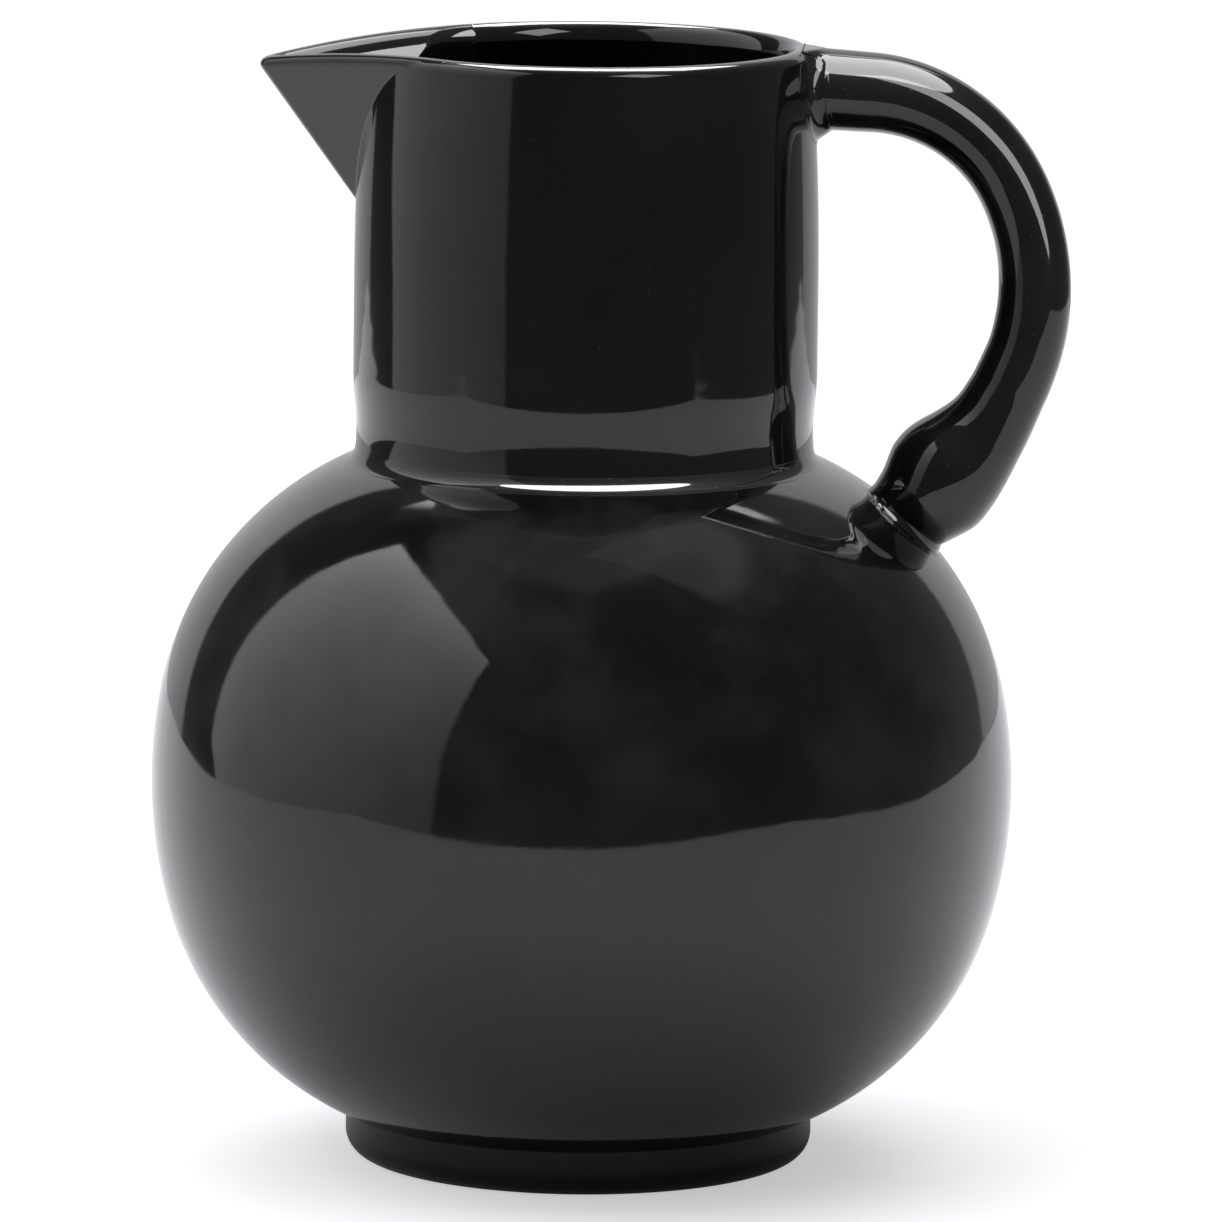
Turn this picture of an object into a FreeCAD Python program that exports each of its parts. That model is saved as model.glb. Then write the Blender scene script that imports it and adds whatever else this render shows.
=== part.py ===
import FreeCAD
import Part

import math
import os

# Pouring jug of the oinochoe kind in black glazed ceramic: a globe on a low foot ring, a
# round neck, a keel-shaped spout with straight sides, and one round handle from the rim to
# the shoulder. Millimetres, real size. The jug stands on the XY plane with its axis on Z,
# the handle towards +X and the spout towards -X, so that XZ is its plane of symmetry.
# Every outline is an outer surface: the walls are worked out from it inwards.

# Wall of the thrown pieces, and the length by which a cutter runs past what it cuts
wall = 4.8
overrun = 6.0

# Globe: its widest circle, the three tangent arcs of its outline, and the slopes, from the
# level line, at which the waist arc passes into the shoulder arc and into the lower arc
globe_radius = 89.6
waist_arc_radius = 98.0
shoulder_arc_radius = 67.0
lower_arc_radius = 66.0
shoulder_starts_at = 11.5
lower_arc_starts_at = 15.3

# Foot ring: depth of the hollow under the floor, the wall, its rounded edge, the tread and
# the slope from the tread into the hollow
foot_recess = 4.3
foot_top_radius = 48.6
foot_tread_inner_radius = 38.8
foot_hollow_radius = 37.2
foot_edge_radius = 5.2
foot_seat_depth = 9.0

# Neck: three circles of the gently swelling wall, its height and where it is widest
neck_base_radius = 46.8
neck_widest_radius = 48.0
neck_lip_radius = 46.2
neck_height = 85.4
neck_widest_share = 0.45

# Coils of clay smoothed into the corners where the pieces are joined. Each is let into the
# walls by half a wall, and its worked-down edges stand proud by a hair
neck_coil_radius = 3.6
handle_top_coil_radius = 3.8
handle_seat_coil_radius = 1.7
coil_edge = 0.15
coil_sections = 9
coil_points = 24

# Spout: a keel in plan, its straight sides tangent to the neck at the rim, closing on the
# neck wall below it
keel_reach = 71.9
keel_height = 32.8
keel_edge_radius = 3.7
channel_edge_radius = 1.5
spout_wall = 5.4
lip_droop = 4.6
lip_round_radius = 2.2

# Handle: a round rod that leaves the neck level with the rim, bends twice and comes
# straight down on the shoulder, where it swells to a knee and draws in again to its seat. The
# radius of the outer bend follows from the share that the last straight run has
handle_slope_at_neck = -3.2
handle_first_run = 12.5
upper_bend_radius = 34.7
upper_bend_turn = 61.0
last_run_share = 0.343
handle_seat_slope = 48.0
handle_radius_at_neck = 8.4
handle_radius_thinnest = 7.3
handle_radius_low = 7.8
handle_radius_knee = 11.8
handle_radius_seat = 9.4
handle_sections = 25
thinning_shares = (0.0, 0.40)
thickening_shares = (0.45, 0.72)
knee_shares = (0.72, 0.93)
seat_shares = (0.91, 1.0)


def step(length, degrees):
    """Radial and vertical parts of a step of the given length and slope."""
    turn = math.radians(degrees)
    return length * math.cos(turn), length * math.sin(turn)


def point(radius, height):
    """Point of a turned outline, drawn in the XZ plane."""
    return FreeCAD.Vector(radius, 0, height)


def arc(start, middle, end):
    return Part.Arc(start, middle, end).toShape()


def line(start, end):
    return Part.LineSegment(start, end).toShape()


def turned(edges):
    """Solid of revolution about the jug's axis of a closed outline."""
    face = Part.Face(Part.Wire(edges))
    return face.revolve(FreeCAD.Vector(0, 0, 0), FreeCAD.Vector(0, 0, 1), 360)


def on_arc(centre, radius, degrees):
    across, up = step(radius, degrees)
    return point(centre[0] + across, centre[1] + up)


def globe_centres():
    """Centres of the lower, waist and shoulder arcs, from the floor upwards."""
    down = step(waist_arc_radius - lower_arc_radius, -lower_arc_starts_at)
    up = step(waist_arc_radius - shoulder_arc_radius, shoulder_starts_at)
    waist_across = globe_radius - waist_arc_radius
    waist_up = foot_recess + lower_arc_radius - down[1]
    lower = (waist_across + down[0], waist_up + down[1])
    shoulder = (waist_across + up[0], waist_up + up[1])
    return lower, (waist_across, waist_up), shoulder


def shoulder_slope(inset):
    """Slope at which the shoulder arc reaches the edge of the globe's opening."""
    shoulder = globe_centres()[2]
    edge = neck_base_radius - inset
    return math.degrees(math.acos((edge - shoulder[0]) / (shoulder_arc_radius - inset)))


def globe_arcs(inset):
    """The three arcs of the globe, drawn in by the given inset, and their two ends."""
    lower, waist, shoulder = globe_centres()
    top = shoulder_slope(inset)
    floor_end = on_arc(lower, lower_arc_radius - inset, -90)
    low_middle = on_arc(lower, lower_arc_radius - inset, -(90 + lower_arc_starts_at) / 2)
    low = on_arc(waist, waist_arc_radius - inset, -lower_arc_starts_at)
    side = on_arc(waist, waist_arc_radius - inset, 0)
    high = on_arc(waist, waist_arc_radius - inset, shoulder_starts_at)
    high_middle = on_arc(shoulder, shoulder_arc_radius - inset, (shoulder_starts_at + top) / 2)
    neck_end = on_arc(shoulder, shoulder_arc_radius - inset, top)
    arcs = [arc(floor_end, low_middle, low), arc(low, side, high), arc(high, high_middle, neck_end)]
    return arcs, floor_end, neck_end


def globe_body():
    """The globe filled solid, up to the plane on which the neck stands."""
    arcs, floor_end, neck_end = globe_arcs(0)
    floor_centre = point(0, floor_end.z)
    top_centre = point(0, neck_end.z)
    return turned(arcs + [line(neck_end, top_centre), line(top_centre, floor_centre),
                          line(floor_centre, floor_end)])


def neck_base_height():
    return globe_arcs(0)[2].z


def rim_height():
    return neck_base_height() + neck_height


def make_globe():
    """Hollow globe with one wall all over, open under the neck."""
    arcs, floor_end, inner_end = globe_arcs(wall)
    rim = point(inner_end.x, neck_base_height())
    top_centre = point(0, rim.z)
    floor_centre = point(0, floor_end.z)
    hollow = turned(arcs + [line(inner_end, rim), line(rim, top_centre),
                            line(top_centre, floor_centre), line(floor_centre, floor_end)])
    return globe_body().cut(hollow)


def neck_points(inset):
    """Base, widest place and top of the neck wall, drawn in by the given inset."""
    base = neck_base_height()
    lip = rim_height() - wall / 2
    widest = base + neck_height * neck_widest_share
    return (point(neck_base_radius - inset, base), point(neck_widest_radius - inset, widest),
            point(neck_lip_radius - inset, lip))


def neck_body():
    """The neck filled solid, with the outer half of its rounded lip."""
    base, widest, top = neck_points(0)
    turn = wall / 2 * math.sqrt(0.5)
    lip_centre = point(top.x - wall / 2, top.z)
    lip_middle = point(lip_centre.x + turn, lip_centre.z + turn)
    crown = point(lip_centre.x, rim_height())
    top_centre = point(0, crown.z)
    base_centre = point(0, base.z)
    return turned([arc(base, widest, top), arc(top, lip_middle, crown), line(crown, top_centre),
                   line(top_centre, base_centre), line(base_centre, base)])


def make_neck(channel):
    """Open neck with a fully rounded lip, notched where the spout's channel leaves it."""
    base, widest, top = neck_points(0)
    inner_base, inner_widest, inner_top = neck_points(wall)
    crown = point(top.x - wall / 2, rim_height())
    tube = turned([arc(base, widest, top), arc(top, crown, inner_top),
                   arc(inner_top, inner_widest, inner_base), line(inner_base, base)])
    return tube.cut(channel)


def make_neck_coil():
    """Coil in the corner of neck and shoulder, its face a hollow quarter round."""
    shoulder = globe_centres()[2]
    around = neck_base_radius + coil_edge + neck_coil_radius
    reach = shoulder_arc_radius + coil_edge + neck_coil_radius
    centre_slope = math.degrees(math.acos((around - shoulder[0]) / reach))
    centre = on_arc(shoulder, reach, centre_slope)
    on_neck = point(neck_base_radius + coil_edge, centre.z)
    on_globe = on_arc(shoulder, shoulder_arc_radius + coil_edge, centre_slope)
    middle = on_arc((centre.x, centre.z), neck_coil_radius, 180 + centre_slope / 2)
    in_neck = point(neck_base_radius - wall / 2, centre.z)
    in_globe = on_arc(shoulder, shoulder_arc_radius - wall / 2, centre_slope)
    return turned([arc(on_neck, middle, on_globe), line(on_globe, in_globe),
                   line(in_globe, in_neck), line(in_neck, on_neck)])


def make_foot_ring():
    """Ring under the globe: a leaning wall, a flat tread and two rounded edges."""
    top = point(foot_top_radius, foot_recess + foot_seat_depth)
    tread_outer = point(foot_top_radius - foot_edge_radius, 0)
    tread_inner = point(foot_tread_inner_radius, 0)
    outer_edge = point(foot_top_radius, foot_edge_radius)
    outer_middle = on_arc((tread_outer.x, outer_edge.z), foot_edge_radius, -45)
    hollow_foot = point(foot_hollow_radius, foot_tread_inner_radius - foot_hollow_radius)
    hollow_top = point(foot_hollow_radius, top.z)
    blank = turned([line(top, outer_edge), arc(outer_edge, outer_middle, tread_outer),
                    line(tread_outer, tread_inner), line(tread_inner, hollow_foot),
                    line(hollow_foot, hollow_top), line(hollow_top, top)])
    return blank.cut(globe_body())


def keel_lean():
    """Angle between a side of the keel and its middle plane: tangent to the neck's rim."""
    return math.asin((neck_lip_radius - keel_edge_radius) / (keel_reach - keel_edge_radius))


def keel_section(tip, edge_radius, scale, height):
    """Level section of a keel: two straight sides, a rounded tip and a flat back."""
    lean = keel_lean()
    back_reach = neck_lip_radius * math.sin(lean)
    back = back_reach * scale
    half_back = (tip - back_reach) * scale * math.tan(lean)
    radius = edge_radius * scale
    centre = tip * scale - radius / math.sin(lean)
    side = FreeCAD.Vector(-centre - radius * math.sin(lean), radius * math.cos(lean), height)
    other_side = FreeCAD.Vector(side.x, -side.y, height)
    nose = FreeCAD.Vector(-centre - radius, 0, height)
    corner = FreeCAD.Vector(-back, half_back, height)
    other_corner = FreeCAD.Vector(-back, -half_back, height)
    return Part.Wire([line(corner, side), arc(side, nose, other_side),
                      line(other_side, other_corner), line(other_corner, corner)])


def sharp_tip():
    """Where the spout's two sides would meet at the height of the rim."""
    return keel_reach + keel_edge_radius * (1 / math.sin(keel_lean()) - 1)


def keel(tip, edge_radius):
    """Pointed solid whose level sections shrink evenly towards the jug's axis."""
    rim = rim_height()
    rise = keel_height * keel_reach / (keel_reach - neck_widest_radius)
    low_scale = (neck_widest_radius - wall) / keel_reach / 2
    high_scale = (rise + overrun) / rise
    low = keel_section(tip, edge_radius, low_scale, rim - rise * (1 - low_scale))
    high = keel_section(tip, edge_radius, high_scale, rim + overrun)
    return Part.makeLoft([low, high], True, True)


def above_lip():
    """Everything above the spout's lip, whose line falls in an arc towards the tip."""
    rim = rim_height()
    lip_droop_starts_at = neck_lip_radius * math.sin(keel_lean())
    fall_run = keel_reach - lip_droop_starts_at
    fall_radius = (fall_run ** 2 + lip_droop ** 2) / (2 * lip_droop)
    far = keel_reach + overrun
    far_drop = fall_radius - math.sqrt(fall_radius ** 2 - (far - lip_droop_starts_at) ** 2)
    half_run = (far + lip_droop_starts_at) / 2
    half_drop = fall_radius - math.sqrt(fall_radius ** 2 - (half_run - lip_droop_starts_at) ** 2)
    start = point(-lip_droop_starts_at, rim)
    end = point(-far, rim - far_drop)
    back = point(0, rim)
    back_top = point(0, rim + 2 * overrun)
    end_top = point(-far, rim + 2 * overrun)
    side = Part.Face(Part.Wire([line(back, start), arc(start, point(-half_run, rim - half_drop), end),
                                line(end, end_top), line(end_top, back_top), line(back_top, back)]))
    side.translate(FreeCAD.Vector(0, -keel_reach, 0))
    return side.extrude(FreeCAD.Vector(0, 2 * keel_reach, 0))


def make_channel():
    """The space inside the spout, which also notches the neck wall."""
    tip = sharp_tip() - spout_wall / math.sin(keel_lean())
    return keel(tip, channel_edge_radius)


def make_spout(channel):
    """Spout: keel less its channel, cut to the falling lip, rounded there and seated on the neck."""
    shell = keel(sharp_tip(), keel_edge_radius).cut(above_lip()).cut(channel)
    lowest = rim_height() - 2 * lip_droop
    back_reach = neck_lip_radius * math.sin(keel_lean())
    lip = []
    for edge in shell.Edges:
        start, end = (vertex.Point for vertex in edge.Vertexes)
        middle = edge.valueAt((edge.FirstParameter + edge.LastParameter) / 2)
        if min(start.z, end.z) > lowest and middle.x < -back_reach - lip_round_radius:
            lip.append(edge)
    return shell.makeFillet(lip_round_radius, lip).cut(neck_body())


def blend(share, ends):
    """Smooth rise from 0 to 1 between the two given shares of the handle's length."""
    t = min(max((share - ends[0]) / (ends[1] - ends[0]), 0), 1)
    return t * t * (3 - 2 * t)


def handle_radius(share):
    """Radius of the rod at a share of its length from the neck to the shoulder."""
    radius = handle_radius_at_neck
    radius += (handle_radius_thinnest - handle_radius_at_neck) * blend(share, thinning_shares)
    radius += (handle_radius_low - handle_radius_thinnest) * blend(share, thickening_shares)
    radius += (handle_radius_knee - handle_radius_low) * blend(share, knee_shares)
    drawn_in = max((share - seat_shares[0]) / (seat_shares[1] - seat_shares[0]), 0)
    radius -= (handle_radius_knee - handle_radius_seat) * (1 - math.sqrt(1 - min(drawn_in, 1) ** 2))
    return radius


def handle_path():
    """Corner points and headings of the rod's centre line, from the neck to the globe."""
    start = point(neck_lip_radius, rim_height() - handle_radius_at_neck)
    heading = handle_slope_at_neck
    first_bend = on_arc((start.x, start.z), handle_first_run, heading)
    first_centre = on_arc((first_bend.x, first_bend.z), upper_bend_radius, heading - 90)
    turned_heading = heading - upper_bend_turn
    second_bend = on_arc((first_centre.x, first_centre.z), upper_bend_radius, turned_heading + 90)
    seat = on_arc(globe_centres()[2], shoulder_arc_radius, handle_seat_slope)
    chord = seat - second_bend
    last_run = chord.Length * last_run_share
    inward = on_arc((0, 0), 1, turned_heading - 90)
    outer_bend_radius = (chord.Length ** 2 - last_run ** 2) / (2 * chord.dot(inward))
    gap = chord - inward * outer_bend_radius
    aim = math.degrees(math.atan2(gap.z, gap.x))
    last_heading = aim - 90 + math.degrees(math.atan2(last_run, outer_bend_radius))
    return [
        (handle_first_run, start, heading, heading),
        (math.radians(upper_bend_turn) * upper_bend_radius, first_bend, heading, turned_heading),
        (math.radians(turned_heading - last_heading) * outer_bend_radius, second_bend,
         turned_heading, last_heading),
        (last_run, seat, last_heading, last_heading),
    ]


def place_on_path(runs, distance):
    """Point and heading of the centre line at a distance from the neck's wall."""
    for number, (length, start, heading, next_heading) in enumerate(runs):
        last = number == len(runs) - 1
        if distance <= length or last:
            break
        distance -= length
    if last:
        return on_arc((start.x, start.z), distance - length, heading), heading
    if heading == next_heading:
        return on_arc((start.x, start.z), distance, heading), heading
    radius = length / math.radians(heading - next_heading)
    centre = on_arc((start.x, start.z), radius, heading - 90)
    here = heading + (next_heading - heading) * distance / length
    return on_arc((centre.x, centre.z), radius, here + 90), here


def handle_rod():
    """The rod through all its sections, its two ends sunk by half a wall."""
    runs = handle_path()
    total = sum(run[0] for run in runs)
    rings = []
    for number in range(handle_sections):
        share = number / (handle_sections - 1)
        distance = (total + wall) * share - wall / 2
        centre, heading = place_on_path(runs, distance)
        across, up = step(1, heading)
        along = FreeCAD.Vector(across, 0, up)
        radius = handle_radius(min(max(distance / total, 0), 1))
        rings.append(Part.Wire(Part.Circle(centre, along, radius).toShape()))
    return Part.makeLoft(rings, True, False)


def above_rim():
    """Everything above the level of the neck's rim."""
    span = 2 * neck_widest_radius
    corner = FreeCAD.Vector(-span, -span, rim_height())
    return Part.makeBox(2 * span, 2 * span, span, corner)


def make_handle(top_coil, seat_coil):
    """The rod between neck and globe less its two coils, trimmed level with the rim."""
    rod = handle_rod().cut(neck_body()).cut(globe_body()).cut(above_rim())
    pieces = rod.cut(top_coil).cut(seat_coil).Solids
    return max(pieces, key=lambda piece: piece.Volume)


def gap_to_neck(place):
    """Distance of a point from the outer face of the neck."""
    base, widest, top = neck_points(0)
    outline = Part.Arc(base, widest, top).toShape().Curve
    depth = place.z - outline.Center.z
    radius = outline.Center.x + math.sqrt(outline.Radius ** 2 - depth ** 2)
    return math.hypot(place.x, place.y) - radius


def gap_to_globe(place):
    """Distance of a point from the shoulder of the globe."""
    shoulder = globe_centres()[2]
    across = math.hypot(place.x, place.y) - shoulder[0]
    return math.hypot(across, place.z - shoulder[1]) - shoulder_arc_radius


def flare(gap, coil_radius):
    """How far a coil's hollow face stands off the rod where the joined body is a gap away."""
    rest = coil_radius - min(max(gap - coil_edge, 0), coil_radius)
    return coil_edge + coil_radius - math.sqrt(coil_radius ** 2 - rest ** 2)


def rod_coil(first, last, rod_radius, coil_radius, gap_at):
    """Coil round the rod between two distances along it, flaring towards the joined body."""
    runs = handle_path()
    rings = []
    for number in range(coil_sections):
        centre, heading = place_on_path(runs, first + (last - first) * number / (coil_sections - 1))
        points = []
        for place in range(coil_points):
            turn = math.radians(360 * place / coil_points)
            outward = on_arc((0, 0), math.cos(turn), heading + 90)
            outward.y = math.sin(turn)
            probe = centre + outward * (rod_radius + coil_radius / 2)
            points.append(centre + outward * (rod_radius + flare(gap_at(probe), coil_radius)))
        ring = Part.BSplineCurve()
        ring.interpolate(Points=points, PeriodicFlag=True)
        rings.append(Part.Wire(ring.toShape()))
    trumpet = Part.makeLoft(rings, True, True)
    start, heading = place_on_path(runs, min(first, last) - overrun)
    along = on_arc((0, 0), 1, heading)
    core = Part.makeCylinder(rod_radius - wall / 2, abs(last - first) + 2 * overrun, start, along)
    return trumpet.cut(core)


def make_handle_top_coil():
    """Coil between the neck and the handle, level with the rim on top."""
    coil = rod_coil(-wall / 2, handle_top_coil_radius + coil_edge, handle_radius_at_neck,
                    handle_top_coil_radius, gap_to_neck)
    return coil.cut(above_rim())


def make_handle_seat_coil():
    """Coil between the globe and the foot of the handle."""
    total = sum(run[0] for run in handle_path())
    return rod_coil(total + wall / 2, total - handle_seat_coil_radius - coil_edge,
                    handle_radius_seat, handle_seat_coil_radius, gap_to_globe)


def main():
    os.makedirs("parts", exist_ok=True)
    channel = make_channel()
    neck_coil = make_neck_coil()
    top_coil = make_handle_top_coil()
    seat_coil = make_handle_seat_coil()
    pieces = {
        "globe": make_globe().cut(neck_coil).cut(seat_coil),
        "foot_ring": make_foot_ring(),
        "neck": make_neck(channel).cut(neck_coil).cut(top_coil),
        "neck_coil": neck_coil,
        "spout": make_spout(channel),
        "handle": make_handle(top_coil, seat_coil),
        "handle_top_coil": top_coil,
        "handle_seat_coil": seat_coil,
    }
    for name, shape in pieces.items():
        shape.exportStep(f"parts/{name}.step")
        print(f"{name}: {len(shape.Solids)} solid, {shape.Volume / 1000:.1f} cm3, valid {shape.isValid()}")


main()
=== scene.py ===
# %% [markdown]
# # A black glazed pouring jug
# The jug is an oinochoe: a thrown globe on a turned foot ring, a straight neck, a spout cut
# like the bow of a boat and one pulled handle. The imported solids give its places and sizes.
# This lesson lays a finer skin over each of them, with the small unevenness of hand work, and
# gives the skins a glaze. The jug's lengths are millimetres until a mesh is made from them,
# and the studio's lengths are metres.

import math

import bpy
import numpy as np
from mathutils import Matrix


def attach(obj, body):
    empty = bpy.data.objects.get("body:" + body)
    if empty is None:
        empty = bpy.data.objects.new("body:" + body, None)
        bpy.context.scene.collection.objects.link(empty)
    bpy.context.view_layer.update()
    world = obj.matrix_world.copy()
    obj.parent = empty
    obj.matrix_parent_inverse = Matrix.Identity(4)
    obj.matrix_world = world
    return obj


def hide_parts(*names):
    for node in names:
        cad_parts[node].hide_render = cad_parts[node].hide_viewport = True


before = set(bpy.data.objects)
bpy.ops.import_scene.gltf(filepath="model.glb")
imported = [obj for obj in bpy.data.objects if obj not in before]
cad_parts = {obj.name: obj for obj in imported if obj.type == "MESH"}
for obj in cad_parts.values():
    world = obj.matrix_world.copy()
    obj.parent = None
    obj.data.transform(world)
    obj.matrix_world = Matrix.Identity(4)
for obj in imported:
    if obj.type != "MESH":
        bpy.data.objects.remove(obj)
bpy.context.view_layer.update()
millimetre = 0.001

# %% [markdown]
# ## From a grid of points to a skin
# Every piece here is a grid: its rows run along the piece and its columns run round it. The
# faces between neighbouring points are all alike, so numpy can list them at once. A ring, such
# as the foot, also closes from its last row to its first. A rod or a bowl closes at both ends
# on one point, a pole. Whether the faces point outwards follows from the volume: if the sum of
# the small pyramids between the faces and the origin is negative, all faces are turned round.

# %% A skin over a grid
def signed_volume(corners):
    """Sum over the triangles of corner 1 times (corner 2 cross corner 3), over six."""
    first, second, third = corners[:, 0], corners[:, 1], corners[:, 2]
    return np.sum(first * np.cross(second, third)) / 6


def add_piece(name, node, points, ring=False, paler_share=None):
    """Closed skin over points[row, column], with each point's share of paler glaze."""
    rows, columns = points.shape[:2]
    number = np.arange(rows * columns).reshape(rows, columns)
    aside = np.roll(number, -1, axis=1)
    above, above_aside = np.roll(number, -1, axis=0), np.roll(aside, -1, axis=0)
    kept = slice(None) if ring else slice(0, rows - 1)
    quads = np.stack([number, aside, above_aside, above], axis=-1)[kept].reshape(-1, 4)
    places = points.reshape(-1, 3)
    fans = np.zeros((0, 3), dtype=int)
    if not ring:
        poles = np.stack([points[0].mean(axis=0), points[-1].mean(axis=0)])
        low = np.full(columns, rows * columns)
        fans = np.concatenate([np.stack([low, aside[0], number[0]], axis=-1),
                               np.stack([low + 1, number[-1], aside[-1]], axis=-1)])
        places = np.concatenate([places, poles])
    triangles = np.concatenate([quads[:, [0, 1, 2]], quads[:, [0, 2, 3]], fans])
    if signed_volume(places[triangles]) < 0:
        quads, fans = quads[:, ::-1], fans[:, ::-1]
    mesh = bpy.data.meshes.new(name)
    mesh.from_pydata((places * millimetre).tolist(), [], quads.tolist() + fans.tolist())
    mesh.polygons.foreach_set("use_smooth", np.ones(len(mesh.polygons), dtype=bool))
    paler_by_point = np.zeros(len(places))
    if paler_share is not None:
        paler_by_point[:rows * columns] = paler_share.reshape(-1)
    mesh.attributes.new("paler_glaze", "FLOAT", "POINT").data.foreach_set("value", paler_by_point)
    mesh.update()
    piece = bpy.data.objects.new(name, mesh)
    bpy.context.scene.collection.objects.link(piece)
    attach(piece, "root")
    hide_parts(node)
    low_corner, high_corner = places.min(axis=0), places.max(axis=0)
    print(name, len(mesh.polygons), "faces, from", low_corner.round(1), "to", high_corner.round(1))
    return piece


# %% [markdown]
# ## The outline that the wheel makes
# A thrown piece is an outline turned about the wheel's axis. The outline of the globe is three
# arcs that run into each other without a corner, which is how a rib held against the clay
# leaves it. The same values as in the solids are named here once.

# %% Lengths of the thrown pieces
wall = 4.8
globe_radius, waist_arc, shoulder_arc, lower_arc = 89.6, 98.0, 67.0, 66.0
shoulder_starts, lower_starts = 11.5, 15.3
foot_recess = 4.3
neck_base_radius, neck_widest_radius, neck_lip_radius = 46.8, 48.0, 46.2
neck_height, neck_widest_share = 85.4, 0.45

waist_centre = np.array([globe_radius - waist_arc, 0.0])
lower_turn, shoulder_turn = math.radians(-lower_starts), math.radians(shoulder_starts)
lower_centre = waist_centre + (waist_arc - lower_arc) * np.array(
    [math.cos(lower_turn), math.sin(lower_turn)])
shoulder_centre = waist_centre + (waist_arc - shoulder_arc) * np.array(
    [math.cos(shoulder_turn), math.sin(shoulder_turn)])
lift = np.array([0.0, foot_recess + lower_arc - lower_centre[1]])
lower_centre, waist_centre, shoulder_centre = (
    centre + lift for centre in (lower_centre, waist_centre, shoulder_centre))
neck_slope = math.degrees(math.acos((neck_base_radius - shoulder_centre[0]) / shoulder_arc))
neck_base = shoulder_centre[1] + shoulder_arc * math.sin(math.radians(neck_slope))
rim = neck_base + neck_height
print("neck stands at", round(neck_base, 2), "and its rim is at", round(rim, 2))


# %% Arcs, lines and turned grids
def arc(centre, radius, start, end, count):
    """Points at centre + radius (cosine, sine) for slopes from start to end, in degrees."""
    turn = np.radians(np.linspace(start, end, count))
    return np.stack([centre[0] + radius * np.cos(turn), centre[1] + radius * np.sin(turn)], -1)


def line(start, end, count):
    """Points evenly spread from start to end."""
    share = np.linspace(0, 1, count)[:, None]
    return np.array(start) * (1 - share) + np.array(end) * share


def turned(outline, columns=384):
    """Each outline point (radius, height) carried round the axis in equal steps."""
    turn = np.arange(columns) * 2 * math.pi / columns
    radius, height = outline[:, :1], outline[:, 1:]
    return np.stack([radius * np.cos(turn), radius * np.sin(turn),
                     np.broadcast_to(height, (len(outline), columns))], axis=-1)


# %% [markdown]
# ## The unevenness of hand work
# Nothing that a hand throws is quite round: the walls sway a little, and the finger leaves
# rings. On a mirror-like glaze even a tenth of a millimetre bends the reflections, and that is
# what makes them look real. One field moves every piece, so the joints stay closed.

# %% Sway and throwing rings
def ease(share):
    """Smooth step from 0 to 1: three squares less two cubes of the share."""
    share = np.clip(share, 0, 1)
    return share * share * (3 - 2 * share)


sway_depth = 0.055
ring_depth = 0.004
ring_pitch = 6.5


def thrown(points):
    """Each point drawn towards the axis by slow waves round and up, and by spiral rings."""
    x, y, z = points[..., 0], points[..., 1], points[..., 2]
    around = np.arctan2(y, x)
    sway = 2 + np.sin(2 * around + z / 31) + np.sin(3 * around - z / 23 + 1)
    rings = 1 + np.sin(2 * math.pi * z / ring_pitch + around)
    keep = 1 - (sway_depth * sway + ring_depth * rings) / globe_radius
    return np.stack([x * keep, y * keep, z], axis=-1)


# %% [markdown]
# ## The globe
# The outer outline runs from the middle of the floor out and up to the neck, then over the
# edge and down the inside with the same wall all the way. Both ends close on the axis. The
# glaze is paler in cloudy patches higher up the globe, most on the shoulder, so every point
# carries its share of paler glaze.

# %% Throw the globe
def globe_outline(inset, counts):
    """Floor line and three tangent arcs, all drawn in by the inset, from floor to neck."""
    floor = foot_recess + inset
    edge = neck_base_radius - inset
    top = math.degrees(math.acos((edge - shoulder_centre[0]) / (shoulder_arc - inset)))
    return np.concatenate([
        line([edge / 40, floor], [lower_centre[0], floor], counts[0])[:-1],
        arc(lower_centre, lower_arc - inset, -90, -lower_starts, counts[1])[:-1],
        arc(waist_centre, waist_arc - inset, -lower_starts, shoulder_starts, counts[2])[:-1],
        arc(shoulder_centre, shoulder_arc - inset, shoulder_starts, top, counts[3])])


globe_skin = np.concatenate([globe_outline(0, (8, 52, 46, 46)),
                             globe_outline(wall, (5, 16, 16, 18))[::-1]])
globe_points = thrown(turned(globe_skin))
# The globe's glaze is paler in cloudy patches from 70 mm up, and more so on the shoulder.
pale_starts, pale_run, shoulder_pale_starts, shoulder_pale_run = 70, 30, 116, 16
paler_higher_up = (0.62 * ease((globe_points[..., 2] - pale_starts) / pale_run)
          + 0.38 * ease((globe_points[..., 2] - shoulder_pale_starts) / shoulder_pale_run))
globe = add_piece("thrown_globe", "globe", globe_points, paler_share=paler_higher_up)

# %% [markdown]
# ## The foot ring
# The foot is turned from a thicker ring of clay once the globe is leather hard. Its wall goes
# straight down, its outer edge is a quarter round and it stands on a flat tread. A corner keeps
# its line in smooth shading when a row of points stands close to it on each side.

# %% Turn the foot
foot_top_radius, foot_edge_radius = 48.6, 5.2
foot_tread_inner_radius, foot_hollow_radius = 38.8, 37.2
foot_sunk_height = 12.0


def crisp(corners, hair=0.12):
    """The corner points with a neighbour a hair away on each side, for a narrow bright edge."""
    corners = np.array(corners)
    before, after = np.roll(corners, 1, axis=0) - corners, np.roll(corners, -1, axis=0) - corners
    before *= hair / np.linalg.norm(before, axis=1, keepdims=True)
    after *= hair / np.linalg.norm(after, axis=1, keepdims=True)
    return np.stack([corners + before, corners + (before + after) / 4, corners + after], axis=1)


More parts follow.
